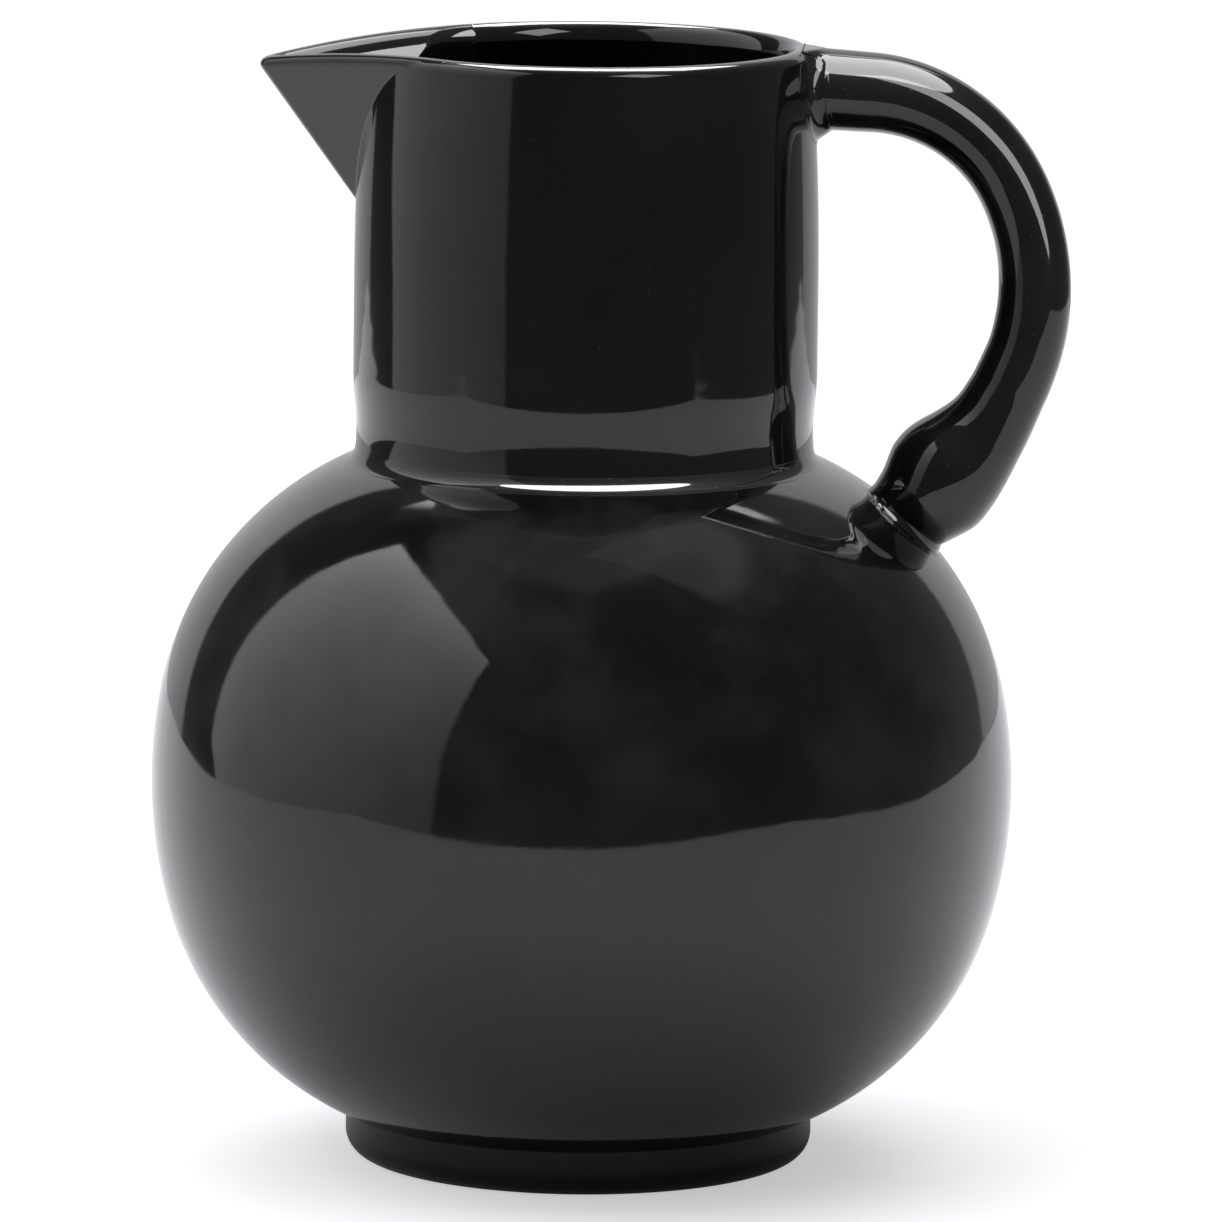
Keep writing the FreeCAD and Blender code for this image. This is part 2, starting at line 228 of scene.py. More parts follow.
tread_outer = foot_top_radius - foot_edge_radius
hollow_corner = foot_tread_inner_radius - foot_hollow_radius
sharp = crisp([[tread_outer, 0], [foot_tread_inner_radius, 0], [foot_hollow_radius, hollow_corner],
               [foot_hollow_radius, foot_sunk_height], [foot_top_radius, foot_sunk_height]])
foot_skin = np.concatenate([
    line([foot_top_radius, foot_sunk_height], [foot_top_radius, foot_edge_radius], 12)[:-1],
    arc([tread_outer, foot_edge_radius], foot_edge_radius, 0, -90, 30),
    line([tread_outer, 0], [foot_tread_inner_radius, 0], 6)[1:-1],
    sharp[1], sharp[2],
    line([foot_hollow_radius, hollow_corner], [foot_hollow_radius, foot_sunk_height], 6)[1:]])
foot = add_piece("turned_foot", "foot_ring", thrown(turned(foot_skin)), ring=True)

# %% [markdown]
# ## The keel of the spout
# The spout is the skill of this jug. Two flat sides leave the neck along its tangents, meet in
# a narrow rounded edge and close on the neck below, so every level section is the same plan
# drawn smaller. In polar form the distance from the axis to a side is the side's distance over
# the cosine of the angle from its square direction, and a circle makes the nose.

# %% Plan of the keel and of its channel
keel_reach, keel_height, keel_edge = 71.9, 32.8, 3.7
channel_edge, spout_wall, lip_droop = 1.5, 5.4, 4.6
lean = math.asin((neck_lip_radius - keel_edge) / (keel_reach - keel_edge))
rise = keel_height * keel_reach / (keel_reach - neck_widest_radius)
keel_plan = (keel_reach - keel_edge, keel_edge)
channel_plan = (keel_plan[0] + (keel_edge - spout_wall - channel_edge) / math.sin(lean),
                channel_edge)


def plan_radius(angle, height, plan):
    """Distance from the axis to the keel at an angle from its edge, scaled by the height."""
    centre, nose = plan
    side = (centre * math.sin(lean) + nose) / np.cos(np.abs(angle) - (math.pi / 2 - lean))
    half_chord = np.sqrt(np.maximum(nose ** 2 - (centre * np.sin(angle)) ** 2, 0))
    tangent = math.atan2(nose * math.cos(lean), centre + nose * math.sin(lean))
    at_rim = np.where(np.abs(angle) < tangent, centre * np.cos(angle) + half_chord, side)
    return at_rim * (1 - (rim - height) / rise)


# %% Walls of the neck
low_point = np.array([neck_base_radius, neck_base])
wide_point = np.array([neck_widest_radius, neck_base + neck_height * neck_widest_share])
lip_point = np.array([neck_lip_radius, rim - wall / 2])
chords = 2 * np.array([wide_point - low_point, lip_point - low_point])
squares = np.array([wide_point @ wide_point, lip_point @ lip_point]) - low_point @ low_point
neck_centre = np.linalg.solve(chords, squares)
neck_arc = np.linalg.norm(low_point - neck_centre)
widest_height = neck_centre[1]
straight_height, waist_height = 164.5, 153.5
waist_depth, flare_depth = 0.75, 0.45


def neck_outer(height):
    """Arc above the widest place; below it a straight wall, a slight waist and a flare."""
    depth = np.clip(height, widest_height, lip_point[1]) - neck_centre[1]
    radius = neck_centre[0] + np.sqrt(neck_arc ** 2 - depth ** 2)
    waist = waist_depth * ease((straight_height - height) / (straight_height - waist_height))
    flare = np.maximum(waist_height - height, 0) / (waist_height - neck_base)
    return radius - waist + flare_depth * flare ** 2


def neck_inner(height):
    return neck_outer(height) - wall


def crossing(angle, plan, neck_wall, short):
    """Depth below the rim where the keel has shrunk to the neck wall less a short length."""
    depth = np.zeros_like(angle)
    for _ in range(5):
        depth = rise * (1 - (neck_wall(rim - depth) - short) / plan_radius(angle, rim, plan))
    return depth


print("the keel closes on the neck", crossing(np.zeros(1), keel_plan, neck_outer, 0).round(1),
      "mm below the rim")

# %% [markdown]
# ## The neck
# The neck is a tube with a rounded lip. Where the spout opens, the potter cuts a notch so that
# the jug can pour. The notch's cut face is hidden inside the spout's wall: on the inside it
# ends where the channel begins, on the outside it lies between the channel and the keel.
# Low down the wall has the slight waist that two fingers leave when they work over the join.

# %% Throw the neck and cut its notch
fold = 0.15
notch_ends, notch_run = math.radians(52), math.radians(3)
least_notch, inner_round = 3.0, 4.6
neck_columns = 400
around = np.arange(neck_columns) * 2 * math.pi / neck_columns
from_spout = np.abs((around % (2 * math.pi)) - math.pi)
inside_spout = np.minimum(from_spout, math.radians(60))
keel_depth = crossing(inside_spout, keel_plan, neck_outer, 0)
channel_depth = crossing(inside_spout, channel_plan, neck_outer, 0)
cut = ease((notch_ends - from_spout) / notch_run)
outer_cut = np.maximum((np.maximum(channel_depth, 0) + keel_depth) / 2, least_notch)
inner_cut = np.maximum(crossing(inside_spout, channel_plan, neck_inner, fold), inner_round)
outer_top = rim - wall / 2 - cut * (outer_cut - wall / 2)
inner_top = rim - inner_round - cut * (inner_cut - inner_round)

share = np.linspace(0, 1, 100)[:, None]
outer_rows = neck_base + (outer_top - neck_base) * share
share = np.linspace(0, 1, 25)[1:-1, None]
lip_height = outer_top + (inner_top - outer_top) * share
lip_radius = neck_outer(outer_top) + (neck_inner(inner_top) - neck_outer(outer_top)) * share
turn = math.pi * share
round_radius = neck_lip_radius - wall / 2 * (1 - np.cos(turn))
lip_radius = cut * lip_radius + (1 - cut) * round_radius
round_height = rim - np.where(turn < math.pi / 2, wall / 2, inner_round) * (1 - np.sin(turn))
lip_height = cut * lip_height + (1 - cut) * round_height
share = np.linspace(0, 1, 76)[:, None]
inner_rows = inner_top + (neck_base - inner_top) * share
radius = np.concatenate([neck_outer(outer_rows), lip_radius, neck_inner(inner_rows)])
height = np.concatenate([outer_rows, lip_height, inner_rows])
neck_points = np.stack([radius * np.cos(around), radius * np.sin(around), height], axis=-1)
worn_depth = 1.2
lip_worn = np.clip((height - (rim - worn_depth)) / worn_depth, 0, 1)
neck = add_piece("thrown_neck", "neck", thrown(neck_points), ring=True,
                 paler_share=lip_worn)

# %% [markdown]
# ## The spout
# One closed loop goes up the outside of the spout, over its rounded lip and down the channel,
# and one such loop stands at every angle from the edge. Where the keel runs out the skin
# leans over into the neck wall, so that the two skins meet without a step. A smooth maximum
# of keel and neck wall rounds the crease a little, as a wet finger does. The loops stand
# closer together near the edge, where the skin bends most.

# %% Form the spout
proud, sink, sink_run = 0.01, 0.25, 3.0
past_crease, least_outer_depth, least_inner_depth, below_sink = 0.4, 4.0, 6.5, 1.0
spout_half_width, end_starts, end_run = (math.radians(v) for v in (54, 52.5, 1.5))


def over(excess, width):
    """Smooth larger of an excess and nothing: a parabola bridges the crease over the width."""
    bridge = np.maximum(width - np.abs(excess), 0)
    return np.maximum(excess, 0) + bridge ** 2 / (4 * width)


step = np.linspace(-1, 1, 301)
crowding = 0.65
angle = spout_half_width * ((1 - crowding) * step + crowding * step ** 3)[:, None]
end_sink = sink * ease((np.abs(angle) - end_starts) / end_run)
outer_limit = np.maximum(crossing(angle, keel_plan, neck_outer, fold) + past_crease,
                         least_outer_depth)
inner_limit = np.maximum(crossing(angle, channel_plan, neck_inner, fold) + past_crease,
                         least_inner_depth)


def spout_outer(height):
    """Neck wall plus the keel's smooth excess, sunk below the place where the keel ends."""
    excess = plan_radius(angle, height, keel_plan) - neck_outer(height)
    sunk = sink * ease((rim - height - outer_limit) / sink_run) + end_sink
    return neck_outer(height) + over(excess, fold) + proud - sunk


def spout_inner(height):
    """Inner neck wall plus the channel's smooth excess, sunk behind the wall at its ends."""
    excess = plan_radius(angle, height, channel_plan) - neck_inner(height)
    sunk = sink * ease((rim - height - inner_limit) / sink_run) + end_sink
    return neck_inner(height) + over(excess, fold) - proud + sunk


droop_start = neck_lip_radius * math.sin(lean)
droop_run = keel_reach - droop_start
droop_arc = (droop_run ** 2 + lip_droop ** 2) / (2 * lip_droop)


def lip_line(radius):
    """Height of the lip, which falls along an arc from the neck to the tip."""
    beyond = np.maximum(radius * np.cos(angle) - droop_start, 0)
    return rim - (droop_arc - np.sqrt(droop_arc ** 2 - beyond ** 2)) + proud - end_sink


turn = np.linspace(0, math.pi, 25)[None, :]
crown = np.full((len(angle), 25), rim)
rounding = np.where(turn < math.pi / 2, wall / 2, inner_round)
for _ in range(6):
    mix = (1 + np.cos(turn)) / 2
    crown_radius = mix * spout_outer(crown) + (1 - mix) * spout_inner(crown)
    crown = lip_line(crown_radius) - rounding * (1 - np.sin(turn))
share = np.linspace(0, 1, 111)[None, 1:]
outer_end, inner_end = (rim - limit - sink_run - below_sink for limit in (outer_limit, inner_limit))
outer_heights = crown[:, :1] + (outer_end - crown[:, :1]) * share
inner_heights = crown[:, -1:] + (inner_end - crown[:, -1:]) * share
radius = np.concatenate([spout_outer(outer_heights)[:, ::-1], crown_radius,
                         spout_inner(inner_heights)], axis=1)
height = np.concatenate([outer_heights[:, ::-1], crown, inner_heights], axis=1)
spout_points = np.stack([-radius * np.cos(angle), radius * np.sin(angle), height], axis=-1)
outer_worn = np.concatenate([np.zeros_like(outer_heights), np.sin(turn) ** 6 + 0 * crown,
                             np.zeros_like(inner_heights)], axis=1)
spout = add_piece("keel_spout", "spout", thrown(spout_points), paler_share=outer_worn)

# %% [markdown]
# ## The handle
# The handle is pulled: the potter draws a round rod of clay between wet fingers, so it thins
# on its way, then bends it over and presses it down, where it thickens to a knee. It is a
# circle carried along a path of straight runs and tangent arcs, with its own radius all along.
# The thumb presses the inner side in above the knee, so the knee bulges more on that side.

# %% Path and radius of the handle
slope_at_neck, first_run = -3.2, 12.5
upper_bend, upper_turn, last_run_share, seat_slope = 34.7, 61.0, 0.343, 48.0
rod_at_neck, rod_thinnest, rod_low, rod_knee, rod_seat = 8.4, 7.3, 7.8, 11.9, 8.3


def toward(degrees):
    """Unit step across and up for a slope in degrees."""
    turn = np.radians(degrees)
    return np.stack([np.cos(turn), np.sin(turn)], axis=-1)


rod_start = np.array([neck_lip_radius, rim - rod_at_neck])
bend_start = rod_start + first_run * toward(slope_at_neck)
upper_centre = bend_start + upper_bend * toward(slope_at_neck - 90)
turned_slope = slope_at_neck - upper_turn
outer_start = upper_centre + upper_bend * toward(turned_slope + 90)
seat = shoulder_centre + shoulder_arc * toward(seat_slope)
chord = seat - outer_start
last_run = np.linalg.norm(chord) * last_run_share
outer_bend = (chord @ chord - last_run ** 2) / (2 * chord @ toward(turned_slope - 90))
outer_centre = outer_start + outer_bend * toward(turned_slope - 90)
aim = seat - outer_centre
last_slope = math.degrees(math.atan2(aim[1], aim[0]) + math.atan2(last_run, outer_bend)) - 90
upper_length = math.radians(upper_turn) * upper_bend
outer_length = math.radians(turned_slope - last_slope) * outer_bend
outer_begins = first_run + upper_length
last_begins = outer_begins + outer_length
rod_length = last_begins + last_run
print("the rod is", round(rod_length, 1), "mm long and its outer bend", round(outer_bend, 1))


def rod_place(distance):
    """Centre and slope at a distance: on a run it goes straight, on a bend the slope falls."""
    upper_slope = slope_at_neck - np.degrees((distance - first_run) / upper_bend)
    outer_slope = turned_slope - np.degrees((distance - outer_begins) / outer_bend)
    on_first, on_upper = distance <= first_run, distance <= outer_begins
    on_outer = distance <= last_begins
    slope = np.select([on_first, on_upper, on_outer],
                      [slope_at_neck, upper_slope, outer_slope], last_slope)
    straight = rod_start + distance[..., None] * toward(slope_at_neck)
    upper = upper_centre + upper_bend * toward(upper_slope + 90)
    outer = outer_centre + outer_bend * toward(outer_slope + 90)
    ending = seat + (distance - rod_length)[..., None] * toward(last_slope)
    pick = [on_first[..., None], on_upper[..., None], on_outer[..., None]]
    return np.select(pick, [straight, upper, outer], ending), slope


def hump(along, height, middle, reach):
    """Soft rise and fall: a cosine wave from trough to trough, with its height at the middle."""
    return height * (1 + np.cos(math.pi * np.clip((along - middle) / reach, -1, 1))) / 2


# Heights are millimetres, middles and reaches are shares of the rod's length.
outer_swelling = (0.65, 0.83, 0.17)
inner_swellings = ((0.3, 0.71, 0.07), (-0.65, 0.805, 0.06), (0.5, 0.885, 0.05))
inner_waist = (1.0, 0.963, 0.05)
outer_waist_depth, outer_waist_share, outer_waist_run_share = 0.85, 0.93, 0.05
thinnest_share, drawn_share, drawn_depth_share = 0.40, 0.915, 0.98


def rod_radius(distance, turn):
    """The rod thins, thickens, swells to its knee and is drawn in at its seat."""
    along = np.clip(distance / rod_length, 0, 1)
    radius = rod_at_neck + (rod_thinnest - rod_at_neck) * ease(along / thinnest_share)
    for start_share, run_share, before, after in (
            (0.45, 0.27, rod_thinnest, rod_low), (0.72, 0.21, rod_low, rod_knee)):
        radius = radius + (after - before) * ease((along - start_share) / run_share)
    drawn = np.clip((along - drawn_share) / (1 - drawn_share), 0, 1)
    radius = radius - (rod_knee - rod_seat) * (1 - np.sqrt(1 - drawn ** 2 * drawn_depth_share))
    outer_side = hump(along, *outer_swelling)
    inner_side = sum(hump(along, *swelling) for swelling in inner_swellings)
    side = np.cos(turn)
    radius = radius + inner_side + (outer_side - inner_side) * (1 + side) / 2
    waist = outer_waist_depth * ease((along - outer_waist_share) / outer_waist_run_share)
    radius = radius - waist * np.maximum(side, 0) ** 2
    return radius - hump(along, *inner_waist) * np.maximum(-side, 0) ** 2


def on_rod(distance, turn, radius):
    """Point at a radius round the rod's centre line, turn 0 on the handle's outer side."""
    centre, slope = rod_place(distance)
    square = toward(slope + 90)
    across = centre + square * (radius * np.cos(turn))[..., None]
    return np.stack([across[..., 0], radius * np.sin(turn), across[..., 1]], axis=-1)


# %% Pull the handle
buried, under_rim = wall / 2, 0.05
distance = np.linspace(-buried, rod_length + buried, 260)[:, None]
turn = (np.arange(112) * 2 * math.pi / 112)[None, :]
distance, turn = np.broadcast_arrays(distance, turn)
handle_points = on_rod(distance, turn, rod_radius(distance, turn))
handle_points[..., 2] = np.minimum(handle_points[..., 2], rim - under_rim)
handle = add_piece("pulled_handle", "handle", thrown(handle_points))

# %% [markdown]
# ## The joins
# A coil of soft clay goes into each corner and is smoothed with a finger, which leaves the
# hollow face that a ball would roll out. At each angle of the ball, its offset from the rod and
# its gap to the wall are known. The distance along the rod that gives this gap is found by
# trying, correcting by the miss, and trying again.

# %% Roll the joins of the handle
def gap_to_neck(points):
    """Distance from the neck's outer wall, and from the ring of its rounded lip above it."""
    reach = np.hypot(points[..., 0], points[..., 1])
    lip = np.hypot(reach - (neck_lip_radius - wall / 2), points[..., 2] - lip_point[1]) - wall / 2
    return np.where(points[..., 2] > lip_point[1], lip, reach - neck_outer(points[..., 2]))


def gap_to_globe(points):
    """Distance from the shoulder's arc, turned round the axis."""
    reach = np.hypot(points[..., 0], points[..., 1]) - shoulder_centre[0]
    return np.hypot(reach, points[..., 2] - shoulder_centre[1]) - shoulder_arc


dip, hair, join_under_rim = 1.0, 0.03, 0.02
top_ball, seat_ball, neck_ball = 3.8, 2.4, 3.6


def rolled_join(ball, gap_at, start, away):
    """Loops round the rod: a dip into the rod, the ball's quarter round, a dip into the wall."""
    quarter = np.linspace(0, math.pi / 2, 28)
    offset = np.concatenate([[-dip, -hair], ball * (1 - np.cos(quarter)) + proud,
                             [ball + dip, ball - dip / 2]])
    gap = np.concatenate([[ball + dip, ball + dip], ball * (1 - np.sin(quarter)) + proud,
                          [-hair, -1.2 * dip]])
    turn = (np.arange(160) * 2 * math.pi / 160)[None, :]
    offset, gap, turn = np.broadcast_arrays(offset[:, None], gap[:, None], turn)
    distance = start + away * gap
    for _ in range(25):
        points = on_rod(distance, turn, rod_radius(distance, turn) + offset)
        distance = distance + away * 0.8 * (gap - gap_at(points))
        distance = np.clip(distance, -wall / 2, rod_length + wall / 2)
    print("join misses its wall by", np.median(np.abs(gap - gap_at(points))).round(3), "mm")
    points[..., 2] = np.minimum(points[..., 2], rim - join_under_rim)
    return points


top_join = add_piece("handle_top_join", "handle_top_coil",
                     thrown(rolled_join(top_ball, gap_to_neck, 0, 1)), ring=True)
seat_join = add_piece("handle_seat_join", "handle_seat_coil",
                      thrown(rolled_join(seat_ball, gap_to_globe, rod_length, -1)), ring=True)

# %% Roll the join of the neck
reach = shoulder_arc + neck_ball + proud
touch_height, lean_out = neck_base + 2, 0.0
probe, past_degrees = 0.1, 0.9
for _ in range(12):
    ball_radius = neck_outer(touch_height) + proud + neck_ball * math.cos(lean_out)
    ball_slope = math.degrees(math.acos((ball_radius - shoulder_centre[0]) / reach))
    ball_centre = shoulder_centre + reach * toward(ball_slope)
    touch_height = ball_centre[1] - neck_ball * math.sin(lean_out)
    lean_out = math.atan((neck_outer(touch_height - probe) - neck_outer(touch_height)) / probe)
lean_degrees = math.degrees(lean_out)
neck_touch = ball_centre - neck_ball * toward(lean_degrees)
globe_touch = ball_centre - neck_ball * toward(ball_slope)
past_neck = [neck_outer(touch_height + dip) - hair, touch_height + dip]
past_globe = shoulder_centre + (shoulder_arc - hair) * toward(ball_slope - past_degrees)
join_skin = np.concatenate([
    [neck_touch - [wall / 2, 0], past_neck],
    arc(ball_centre, neck_ball, 180 + lean_degrees, 180 + ball_slope, 28),
    [past_globe, globe_touch - wall / 2 * toward(ball_slope)]])
neck_join = add_piece("neck_join", "neck_coil", thrown(turned(join_skin)), ring=True)

# %% [markdown]
# ## The glaze
# The glaze is a layer of black glass on dark clay. In the shader it is a coat: the coat makes
# the sharp reflections, and the body under it stays almost black. Real glaze lies unevenly. It
# has a fine peel like an orange, slow ripples where it ran, a few pinholes where gas came out,
# and it draws back from edges, where the clay warms its colour.

# %% Nodes for the glaze
def node(tree, kind, **values):
    """A new node with its properties set by name."""
    made = tree.nodes.new(kind)
    for key, value in values.items():
        setattr(made, key, value)
    return made


def noise(tree, place, scale, detail, roughness=0.5):
    """Cloudy pattern in the piece's own space, scale in repeats per metre."""
    made = node(tree, "ShaderNodeTexNoise")
    tree.links.new(place, made.inputs["Vector"])
    made.inputs["Scale"].default_value = scale
    made.inputs["Detail"].default_value = detail
    made.inputs["Roughness"].default_value = roughness
    return made.outputs["Fac"]


def remap(tree, value, low, high, to_low, to_high):
    """Smooth change from one range to another, held at both ends."""
    made = node(tree, "ShaderNodeMapRange", interpolation_type="SMOOTHSTEP")
    tree.links.new(value, made.inputs["Value"])
    made.inputs["From Min"].default_value = low
    made.inputs["From Max"].default_value = high
    made.inputs["To Min"].default_value = to_low
    made.inputs["To Max"].default_value = to_high
    return made.outputs["Result"]


def tint(tree, share, under, above):
    """Mix of two colours by a share; each may be a colour or another node's colour."""
    made = node(tree, "ShaderNodeMix", data_type="RGBA")
    tree.links.new(share, made.inputs["Factor"])
    for socket, colour in ((made.inputs[6], under), (made.inputs[7], above)):
        if isinstance(colour, tuple):
            socket.default_value = colour
        else:
            tree.links.new(colour, socket)
    return made.outputs[2]


def bump(tree, height, depth, below=None):
    """Relief of a depth in metres, laid on the relief below it."""
    made = node(tree, "ShaderNodeBump")
    tree.links.new(height, made.inputs["Height"])
    made.inputs["Strength"].default_value = 1.0
    made.inputs["Distance"].default_value = depth
    if below is not None:
        tree.links.new(below, made.inputs["Normal"])
    return made.outputs["Normal"]


def new_finish(name):
    """Material with its own tree, its main shader and the piece's coordinates."""
    made = bpy.data.materials.new(name)
    made.use_nodes = True
    tree = made.node_tree
    place = node(tree, "ShaderNodeTexCoord").outputs["Object"]
    return made, tree, tree.nodes["Principled BSDF"], place


# %% Black gloss glaze
black_glaze, tree, shader, place = new_finish("black_gloss_glaze")
clouds = remap(tree, noise(tree, place, 22, 3), 0.35, 0.7, 0, 1)
colour = tint(tree, clouds, (0.0008, 0.0008, 0.0010, 1), (0.0042, 0.0041, 0.0045, 1))
specks = remap(tree, noise(tree, place, 1400, 2), 0.70, 0.76, 0, 1)
colour = tint(tree, specks, colour, (0.022, 0.019, 0.017, 1))
# Paler glaze in cloudy patches, by each point's share: at the lips, where the glaze draws back from
# the edge, and higher up the globe.
paler_share = node(tree, "ShaderNodeAttribute", attribute_name="paler_glaze").outputs["Fac"]
patchy = node(tree, "ShaderNodeMath", operation="MULTIPLY")
tree.links.new(paler_share, patchy.inputs[0])
tree.links.new(remap(tree, noise(tree, place, 48, 5), 0.40, 0.66, 0.08, 0.8), patchy.inputs[1])
colour = tint(tree, patchy.outputs[0], colour, (0.027, 0.025, 0.024, 1))
tree.links.new(colour, shader.inputs["Base Color"])
ripple = bump(tree, noise(tree, place, 62, 2), 0.00005)
peel = bump(tree, noise(tree, place, 420, 2), 0.000004, ripple)
pinholes = bump(tree, remap(tree, noise(tree, place, 520, 1), 0.83, 0.88, 1, 0), 0.00003, peel)
tree.links.new(pinholes, shader.inputs["Coat Normal"])
tree.links.new(peel, shader.inputs["Normal"])
gloss = remap(tree, noise(tree, place, 75, 4, 0.6), 0.3, 0.75, 0.03, 0.075)
tree.links.new(gloss, shader.inputs["Coat Roughness"])
shader.inputs["Roughness"].default_value = 0.4
shader.inputs["Specular IOR Level"].default_value = 0.03
shader.inputs["Coat Weight"].default_value = 1.0
shader.inputs["Coat IOR"].default_value = 1.5
for piece in (globe, neck, spout, handle, top_join, seat_join, neck_join):
    piece.data.materials.append(black_glaze)

# %% [markdown]
# ## The foot's finish
# The foot is dipped and wiped, so its glaze is thin and satin. The tread that touches the kiln
# shelf is rubbed bare, because glaze would stick to it, and shows grainy dark clay.

# %% Satin foot with a bare tread
foot_glaze, tree, shader, place = new_finish("wiped_foot_glaze")
parts = node(tree, "ShaderNodeSeparateXYZ")
tree.links.new(place, parts.inputs[0])
ragged = node(tree, "ShaderNodeMath", operation="MULTIPLY_ADD")
tree.links.new(noise(tree, place, 120, 4), ragged.inputs[0])
ragged.inputs[1].default_value = -0.0008
tree.links.new(parts.outputs["Z"], ragged.inputs[2])
bare = remap(tree, ragged.outputs[0], -0.0003, 0.0002, 1, 0)
clouds = remap(tree, noise(tree, place, 60, 4), 0.3, 0.7, 0, 1)
satin = tint(tree, clouds, (0.0030, 0.0030, 0.0027, 1), (0.0070, 0.0070, 0.0060, 1))
clay = tint(tree, noise(tree, place, 900, 3), (0.045, 0.038, 0.032, 1), (0.10, 0.085, 0.072, 1))
tree.links.new(tint(tree, bare, satin, clay), shader.inputs["Base Color"])
tree.links.new(remap(tree, bare, 0, 1, 0.36, 0.85), shader.inputs["Roughness"])
tree.links.new(remap(tree, bare, 0, 1, 0.06, 0.0), shader.inputs["Coat Weight"])
grain = bump(tree, noise(tree, place, 1100, 3), 0.00002)
tree.links.new(bump(tree, noise(tree, place, 90, 2), 0.00006, grain), shader.inputs["Normal"])
shader.inputs["Coat Roughness"].default_value = 0.18
shader.inputs["Specular IOR Level"].default_value = 0.19
foot.data.materials.append(foot_glaze)

# %% [markdown]
# ## The studio
# A glossy black thing shows nothing but its room, so the room is the light. It has one large
# soft window of cloth on the left, a pale wall behind, a bright bar high behind the jug and
# darkness at the front and right. The room is worked out from the direction alone, so it also
# holds when the jug is seen from another side. The camera sees a plain pale wall instead.

# %% Sums in the world's nodes
room = bpy.data.worlds.new("soft_studio")
bpy.context.scene.world = room
room.use_nodes = True
room.node_tree.nodes.clear()


def reckon(operation, *values):
    """One sum of the room: numbers are set on the node and other results are linked."""
    made = node(room.node_tree, "ShaderNodeMath", operation=operation)
    for socket, value in zip(made.inputs, values):
        if isinstance(value, (int, float)):
            socket.default_value = value
        else:
            room.node_tree.links.new(value, socket)
    return made.outputs[0]


def within(value, low, high):
    """Smooth share from 0 at low to 1 at high."""
    return remap(room.node_tree, value, low, high, 0, 1)


def product(*values):
    result = values[0]
    for value in values[1:]:
        result = reckon("MULTIPLY", result, value)
    return result


def layer(below, share, light):
    """The light below with another light laid over it by a share."""
    return reckon("MULTIPLY_ADD", share, reckon("SUBTRACT", light, below), below)


direction = node(room.node_tree, "ShaderNodeTexCoord").outputs["Generated"]
split = node(room.node_tree, "ShaderNodeSeparateXYZ")
room.node_tree.links.new(direction, split.inputs[0])
east, north, up = split.outputs
degrees_per_radian = math.degrees(1)
toward_camera = reckon("MULTIPLY", north, -1)
azimuth = reckon("MULTIPLY", reckon("ARCTAN2", east, toward_camera), degrees_per_radian)
elevation = reckon("MULTIPLY", reckon("ARCSINE", up), degrees_per_radian)

# %% Dark room, dim ceiling and dark gap
# Azimuth and elevation are degrees; azimuth 0 is the camera's side, 90 the handle's.
room_light, ceiling_light, patch_light, gap_light = 0.14, 0.34, 0.5, 0.03
high = within(elevation, 72, 80)
light = layer(room_light, high, ceiling_light)
patch = product(within(azimuth, 66, 76), within(azimuth, 154, 144), within(elevation, 56, 63))
light = layer(light, patch, patch_light)
gap = product(within(azimuth, -157, -152), within(azimuth, -98, -103), within(elevation, 66, 58))
light = layer(light, gap, gap_light)

# %% Pale wall behind
wall_reach_left, wall_reach_right, wall_top_share = 1.035, 0.81, 1.05
wall_base_light, wall_light_rise, bar_light = 0.62, 0.45, 3.4
narrowing_rate, narrowing_growth, wall_blur = 0.41, 0.29, (-0.04, 0.06)
ahead = reckon("MAXIMUM", north, 0.02)
wall_up = reckon("DIVIDE", up, ahead)
wall_side = reckon("DIVIDE", east, ahead)
narrowing = reckon("SUBTRACT", 1, reckon("ADD", reckon("MULTIPLY", wall_up, narrowing_rate), product(
    reckon("ABSOLUTE", wall_up), wall_up, narrowing_growth)))
narrowing = reckon("MINIMUM", narrowing, wall_top_share)
left_room = reckon("ADD", wall_side, reckon("MULTIPLY", narrowing, wall_reach_left))
right_room = reckon("SUBTRACT", reckon("MULTIPLY", narrowing, wall_reach_right), wall_side)
behind = product(within(left_room, *wall_blur), within(right_room, *wall_blur),
                 within(north, 0.02, 0.06))
wall_light = reckon("MULTIPLY_ADD", wall_up, wall_light_rise, wall_base_light)
light = layer(light, behind, wall_light)
bar = product(within(wall_up, 1.28, 1.36), within(wall_up, 1.85, 1.75), within(north, 0.02, 0.06),
              within(reckon("ABSOLUTE", wall_side), 0.75, 0.6))
light = layer(light, bar, bar_light)

# %% Large cloth window on the left
window_turn = math.radians(-85)
left_slant, left_reach, right_slant, right_reach = 0.064, 0.589, 0.16, 1.15
window_top, light_rise, light_base, light_fall = 1.76, 0.75, -0.22, -0.35
square = reckon("ADD", reckon("MULTIPLY", east, math.sin(window_turn)),
                reckon("MULTIPLY", north, -math.cos(window_turn)))
along = reckon("ADD", reckon("MULTIPLY", east, math.cos(window_turn)),
               reckon("MULTIPLY", north, math.sin(window_turn)))
facing = reckon("MAXIMUM", square, 0.02)
window_up = reckon("DIVIDE", up, facing)
window_side = reckon("DIVIDE", along, facing)
below = reckon("MINIMUM", window_up, 0)
left_edge = reckon("ADD", window_side, reckon("ADD", below, reckon(
    "MULTIPLY_ADD", window_up, left_slant, left_reach)))
right_edge = reckon("SUBTRACT", reckon("MULTIPLY_ADD", window_up, right_slant, right_reach),
                    window_side)
window = product(within(square, 0.02, 0.06), within(left_edge, -0.02, 0.03),
                 within(right_edge, -0.04, 0.05), within(window_up, window_top, 1.70))
window_light = reckon("EXPONENT", reckon(
    "ADD", reckon("MULTIPLY_ADD", window_up, light_rise, light_base),
    reckon("MULTIPLY", window_side, light_fall)))
light = layer(light, window, window_light)

